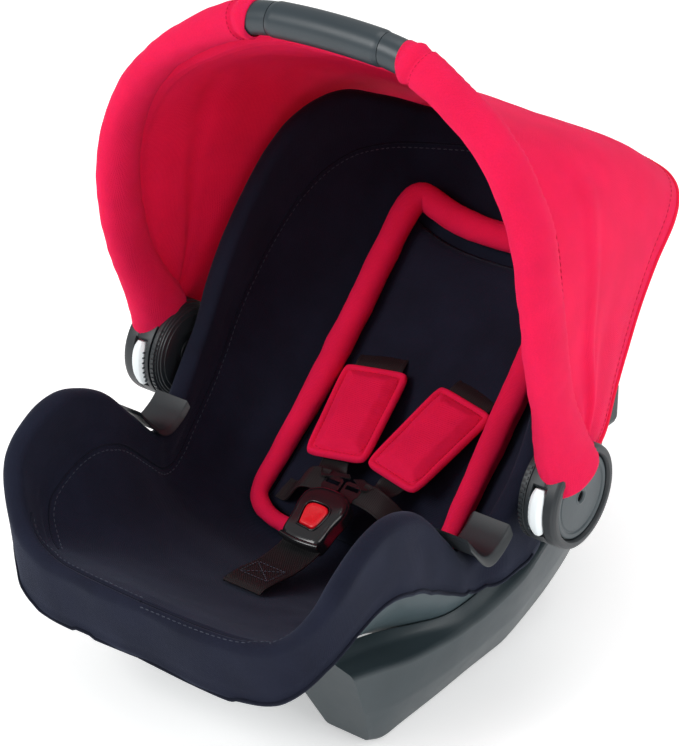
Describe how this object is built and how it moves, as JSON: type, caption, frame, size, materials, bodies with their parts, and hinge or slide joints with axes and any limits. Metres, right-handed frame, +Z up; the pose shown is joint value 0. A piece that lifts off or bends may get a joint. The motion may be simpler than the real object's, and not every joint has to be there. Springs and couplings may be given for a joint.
{
  "type": "infant car seat",
  "caption": "Rear-facing infant car seat with padded bucket, rocking base, fabric canopy, harness with push-button buckle and a pivoting carry handle with hub locks.",
  "frame": {"origin": "on the floor under the middle of the seat's overall box, between the two rockers", "axes": "+X to the child's left, which is the right-hand side seen from the foot end; +Y towards the head end; +Z up"},
  "size_m": [0.4438, 0.5986, 0.5456],
  "materials": {
    "fabric_navy": "matte",
    "fabric_red": "matte",
    "foam": "matte",
    "plastic_shell": "satin",
    "plastic_dark": "satin",
    "plastic_hub": "satin",
    "plastic_grip": "satin",
    "plastic_white": "gloss",
    "plastic_gloss": "gloss",
    "plastic_red": "gloss",
    "webbing": "satin",
    "steel": "polished"
  },
  "bodies": {
    "seat_body": {"adjuster_body": "steel", "adjuster_web": "webbing", "belt_guide_left": "plastic_dark", "belt_guide_right": "plastic_dark", "buckle_housing": "plastic_gloss", "canopy": "fabric_red", "crotch_strap": "webbing", "foam_liner": "foam", "hub_axle_left": "steel", "hub_axle_right": "steel", "hub_base_left": "plastic_dark", "hub_base_right": "plastic_dark", "hub_bracket_left": "plastic_shell", "hub_bracket_right": "plastic_shell", "infant_insert": "fabric_navy", "insert_roll": "fabric_red", "lap_strap_left": "webbing", "lap_strap_right": "webbing", "lock_spring_left": "steel", "lock_spring_right": "steel", "outer_shell": "plastic_shell", "rear_belt_hook": "plastic_dark", "rear_bracket": "plastic_shell", "rear_web_left": "webbing", "rear_web_right": "webbing", "rocker_left": "plastic_shell", "rocker_right": "plastic_shell", "seat_cover": "fabric_navy", "shoulder_pad_left": "fabric_red", "shoulder_pad_right": "fabric_red", "shoulder_strap_left": "webbing", "shoulder_strap_right": "webbing", "splitter_plate": "steel"},
    "handle": {"handle_arm_left": "plastic_grip", "handle_arm_right": "plastic_grip", "hub_housing_left": "plastic_dark", "hub_housing_right": "plastic_dark", "hub_cap_left": "plastic_hub", "hub_cap_right": "plastic_hub", "canopy_sleeve_left": "fabric_red", "canopy_sleeve_right": "fabric_red", "handle_grip": "plastic_grip"},
    "release_button_left": {"release_button_left": "plastic_white"},
    "release_button_right": {"release_button_right": "plastic_white"},
    "lock_gear_left": {"lock_gear_left": "steel"},
    "lock_gear_right": {"lock_gear_right": "steel"},
    "buckle_button": {"buckle_button": "plastic_red"},
    "buckle_tongue_left": {"buckle_tongue_left": "plastic_gloss"},
    "buckle_tongue_right": {"buckle_tongue_right": "plastic_gloss"},
    "adjuster_lever": {"adjuster_lever": "plastic_grip"}
  },
  "joints": [
    {"name": "handle_hinge", "type": "hinge", "parent": "seat_body", "child": "handle", "pos_m": [0, -0.01475, 0.182], "axis": [1, 0, 0], "range_deg": [-115, 0], "deforming": ["canopy"]},
    {"name": "release_button_left_slide", "type": "slide", "parent": "handle", "child": "release_button_left", "axis": [0, 1, 0], "range_m": [0, 0.004], "stiffness_N_per_m": 1000, "springref_m": -0.001},
    {"name": "lock_gear_left_slide", "type": "slide", "parent": "handle", "child": "lock_gear_left", "axis": [-1, 0, 0], "range_m": [0, 0.004], "deforming": ["lock_spring_left"]},
    {"name": "buckle_tongue_left_slide", "type": "slide", "parent": "seat_body", "child": "buckle_tongue_left", "axis": [0, 0.8944, 0.4472], "range_m": [0, 0.016], "deforming": ["shoulder_strap_left", "lap_strap_left"]},
    {"name": "release_button_right_slide", "type": "slide", "parent": "handle", "child": "release_button_right", "axis": [0, 1, 0], "range_m": [0, 0.004], "stiffness_N_per_m": 1000, "springref_m": -0.001},
    {"name": "lock_gear_right_slide", "type": "slide", "parent": "handle", "child": "lock_gear_right", "axis": [1, 0, 0], "range_m": [0, 0.004], "deforming": ["lock_spring_right"]},
    {"name": "buckle_tongue_right_slide", "type": "slide", "parent": "seat_body", "child": "buckle_tongue_right", "axis": [0, 0.8944, 0.4472], "range_m": [0, 0.016], "deforming": ["shoulder_strap_right", "lap_strap_right"]},
    {"name": "buckle_button_press", "type": "slide", "parent": "seat_body", "child": "buckle_button", "axis": [0, 0.4472, -0.8944], "range_m": [0, 0.0025], "stiffness_N_per_m": 2000, "springref_m": -0.001},
    {"name": "adjuster_lever_hinge", "type": "hinge", "parent": "seat_body", "child": "adjuster_lever", "pos_m": [0, -0.17555, 0.0815], "axis": [1, 0, 0], "range_deg": [0, 8], "stiffness_Nm_per_rad": 0.4, "springref_deg": -2.86}
  ],
  "couplings": [
    {"joint": "lock_gear_left_slide", "follows": "release_button_left_slide", "ratio": 1},
    {"joint": "lock_gear_right_slide", "follows": "release_button_right_slide", "ratio": 1}
  ]
}
